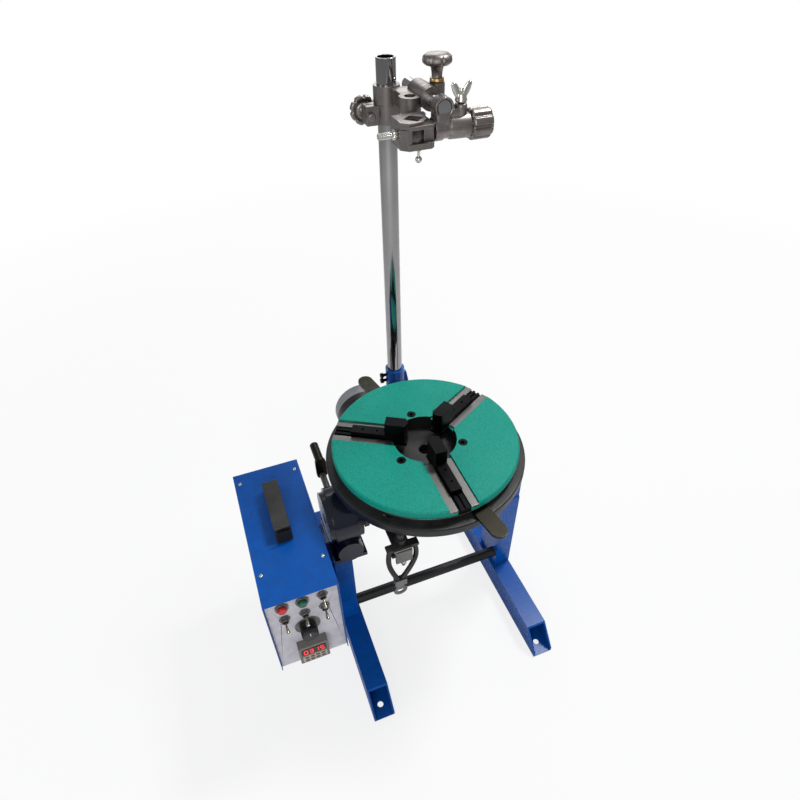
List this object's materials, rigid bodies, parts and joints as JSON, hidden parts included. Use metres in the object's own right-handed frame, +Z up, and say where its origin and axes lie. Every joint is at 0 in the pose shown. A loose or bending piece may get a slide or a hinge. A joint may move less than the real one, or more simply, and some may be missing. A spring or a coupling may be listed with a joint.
{
  "type": "welding positioner",
  "caption": "Bench welding positioner: tilting, turning table with a three-jaw scroll chuck, side control box and a torch clamp on a rear column.",
  "frame": {"origin": "centre of the rectangle of four floor bolt holes, on the underside of the feet; the table axis rises through it", "axes": "+Z up the table axis, +X along the tilt shaft to the right, +Y to the back, where the column stands"},
  "size_m": [0.487, 0.486, 0.951],
  "materials": {
    "blue_paint": "gloss",
    "dark_blue_gloss": "gloss",
    "black_paint": "satin",
    "green_paint": "hammered gloss",
    "chrome_tube": "polished",
    "cast_aluminium": "cast, satin",
    "zinc_screws": "zinc plated",
    "motor_cap_grey": "satin",
    "turned_steel": "turned",
    "toggle_steel": "plated",
    "bronze_wheel": "machined",
    "black_steel": "black oxide",
    "lever_steel": "oiled",
    "panel_face": "satin",
    "black_plastic": "moulded",
    "stop_red": "moulded",
    "start_green": "moulded",
    "timer_grey": "moulded",
    "carbon": "pressed carbon",
    "lead_rubber": "matt"
  },
  "bodies": {
    "base": {"leg_left": "blue_paint", "leg_right": "blue_paint", "front_crossbar": "black_paint", "rear_beam": "blue_paint", "column_socket": "blue_paint", "column": "chrome_tube", "column_screws": "black_steel", "tilt_gear_case": "dark_blue_gloss", "tilt_bearing_block": "blue_paint", "box_chassis": "blue_paint", "box_cover": "blue_paint", "front_panel": "panel_face", "carry_handle": "black_plastic", "panel_fittings": "turned_steel", "timer_module": "timer_grey"},
    "tilt_input": {"tilt_worm": "turned_steel", "tilt_crank": "lever_steel"},
    "tilt_head": {"tilt_yoke": "black_paint", "tilt_worm_wheel": "bronze_wheel", "drive_gear_case": "dark_blue_gloss", "drive_motor": "black_paint", "motor_end_cap": "motor_cap_grey", "thrust_bearing": "turned_steel", "brush_bracket": "turned_steel", "brush_holder": "black_plastic", "carbon_brush": "carbon", "brush_lead_left": "lead_rubber", "brush_lead_right": "lead_rubber", "cable_lug": "turned_steel"},
    "drive_input": {"drive_worm": "turned_steel"},
    "table": {"turntable": "black_paint", "table_spindle": "turned_steel", "drive_worm_wheel": "bronze_wheel", "chuck_body": "green_paint", "slot_rails": "turned_steel", "chuck_screws": "black_steel", "body_lever": "lever_steel"},
    "scroll": {"scroll_plate": "turned_steel", "scroll_lever": "lever_steel"},
    "jaw_one": {"jaw_1": "black_steel"},
    "jaw_two": {"jaw_2": "black_steel"},
    "jaw_three": {"jaw_3": "black_steel"},
    "stop_key": {"stop_button": "stop_red"},
    "start_key": {"start_button": "start_green"},
    "toggle_one": {"toggle_lever_1": "toggle_steel"},
    "toggle_two": {"toggle_lever_2": "toggle_steel"},
    "toggle_three": {"toggle_lever_3": "toggle_steel"},
    "toggle_four": {"toggle_lever_4": "toggle_steel"},
    "speed_dial": {"speed_knob": "black_plastic"},
    "collar": {"column_collar": "cast_aluminium"},
    "collar_screw": {"collar_knob": "cast_aluminium"},
    "carriage": {"arm_carriage": "cast_aluminium"},
    "rod": {"arm_rod": "chrome_tube"},
    "rod_screw": {"rod_knob": "cast_aluminium"},
    "cross": {"cross_block": "cast_aluminium"},
    "cross_screw": {"wing_screw": "zinc_screws"},
    "torch_head": {"torch_shank": "cast_aluminium", "torch_block": "cast_aluminium"},
    "torch_screw": {"torch_jaw_screw": "zinc_screws"},
    "torch_pad": {"torch_jaw": "cast_aluminium"}
  },
  "joints": [
    {"name": "tilt", "type": "hinge", "parent": "base", "child": "tilt_head", "pos_m": [0, 0, 0.328], "axis": [1, 0, 0], "range_deg": [0, 90]},
    {"name": "tilt_crank_turn", "type": "hinge", "parent": "base", "child": "tilt_input", "pos_m": [-0.152, 0, 0.288], "axis": [0, 1, 0], "range_deg": [0, 1800]},
    {"name": "table_spin", "type": "hinge", "parent": "tilt_head", "child": "table", "pos_m": [0, 0, 0.4], "axis": [0, 0, 1], "continuous": true},
    {"name": "drive_worm_turn", "type": "hinge", "parent": "tilt_head", "child": "drive_input", "pos_m": [-0.042, 0, 0.343], "axis": [0, 1, 0], "continuous": true},
    {"name": "scroll_turn", "type": "hinge", "parent": "table", "child": "scroll", "pos_m": [0, 0, 0.428], "axis": [0, 0, 1], "range_deg": [-600, 840]},
    {"name": "jaw_one_slide", "type": "slide", "parent": "table", "child": "jaw_one", "axis": [0.866, 0.5, 0], "range_m": [-0.02, 0.028]},
    {"name": "jaw_two_slide", "type": "slide", "parent": "table", "child": "jaw_two", "axis": [-0.866, 0.5, 0], "range_m": [-0.02, 0.028]},
    {"name": "jaw_three_slide", "type": "slide", "parent": "table", "child": "jaw_three", "axis": [0, -1, 0], "range_m": [-0.02, 0.028]},
    {"name": "stop_press", "type": "slide", "parent": "base", "child": "stop_key", "axis": [0, 1, 0], "range_m": [0, 0.003], "stiffness_N_per_m": 300},
    {"name": "start_press", "type": "slide", "parent": "base", "child": "start_key", "axis": [0, 1, 0], "range_m": [0, 0.003], "stiffness_N_per_m": 300},
    {"name": "toggle_one_flip", "type": "hinge", "parent": "base", "child": "toggle_one", "pos_m": [-0.281, -0.136, 0.3], "axis": [1, 0, 0], "range_deg": [-24, 0]},
    {"name": "toggle_two_flip", "type": "hinge", "parent": "base", "child": "toggle_two", "pos_m": [-0.2505, -0.136, 0.3], "axis": [1, 0, 0], "range_deg": [-24, 0]},
    {"name": "toggle_three_flip", "type": "hinge", "parent": "base", "child": "toggle_three", "pos_m": [-0.22, -0.136, 0.3], "axis": [1, 0, 0], "range_deg": [-24, 0]},
    {"name": "toggle_four_flip", "type": "hinge", "parent": "base", "child": "toggle_four", "pos_m": [-0.22, -0.136, 0.332], "axis": [1, 0, 0], "range_deg": [-24, 0]},
    {"name": "speed_turn", "type": "hinge", "parent": "base", "child": "speed_dial", "pos_m": [-0.2505, -0.134, 0.262], "axis": [0, -1, 0], "range_deg": [-150, 150]},
    {"name": "collar_slide", "type": "slide", "parent": "base", "child": "collar", "axis": [0, 0, 1], "range_m": [-0.32, 0.03]},
    {"name": "collar_knob_turn", "type": "hinge", "parent": "collar", "child": "collar_screw", "pos_m": [0.01, 0.244, 0.871], "axis": [0, 1, 0], "range_deg": [0, 720]},
    {"name": "carriage_swivel", "type": "hinge", "parent": "collar", "child": "carriage", "pos_m": [0.038, 0.244, 0.895], "axis": [0, 0, 1], "range_deg": [-100, 100]},
    {"name": "rod_knob_turn", "type": "hinge", "parent": "carriage", "child": "rod_screw", "pos_m": [0.091, 0.19, 0.92], "axis": [0, 0, 1], "range_deg": [0, 720]},
    {"name": "rod_slide", "type": "slide", "parent": "carriage", "child": "rod", "axis": [0, 1, 0], "range_m": [-0.036, 0.006]},
    {"name": "cross_swivel", "type": "hinge", "parent": "rod", "child": "cross", "pos_m": [0.073, 0.132, 0.903], "axis": [0, 1, 0], "range_deg": [-90, 90]},
    {"name": "wing_turn", "type": "hinge", "parent": "cross", "child": "cross_screw", "pos_m": [0.1, 0.132, 0.915], "axis": [0, 0, 1], "range_deg": [0, 720]},
    {"name": "torch_pivot", "type": "hinge", "parent": "cross", "child": "torch_head", "pos_m": [0.073, 0.132, 0.876], "axis": [1, 0, 0], "range_deg": [-90, 90]},
    {"name": "torch_screw_turn", "type": "hinge", "parent": "torch_head", "child": "torch_screw", "pos_m": [0, 0.132, 0.876], "axis": [1, 0, 0], "range_deg": [0, 2160]},
    {"name": "torch_jaw_slide", "type": "slide", "parent": "torch_head", "child": "torch_pad", "axis": [1, 0, 0], "range_m": [0, 0.006]}
  ],
  "couplings": [
    {"joint": "tilt_crank_turn", "follows": "tilt", "ratio": 20},
    {"joint": "drive_worm_turn", "follows": "table_spin", "ratio": 24},
    {"joint": "jaw_one_slide", "follows": "scroll_turn", "m_per_rad": 0.0019099},
    {"joint": "jaw_two_slide", "follows": "scroll_turn", "m_per_rad": 0.0019099},
    {"joint": "jaw_three_slide", "follows": "scroll_turn", "m_per_rad": 0.0019099},
    {"joint": "torch_jaw_slide", "follows": "torch_screw_turn", "m_per_rad": 0.00015915}
  ]
}
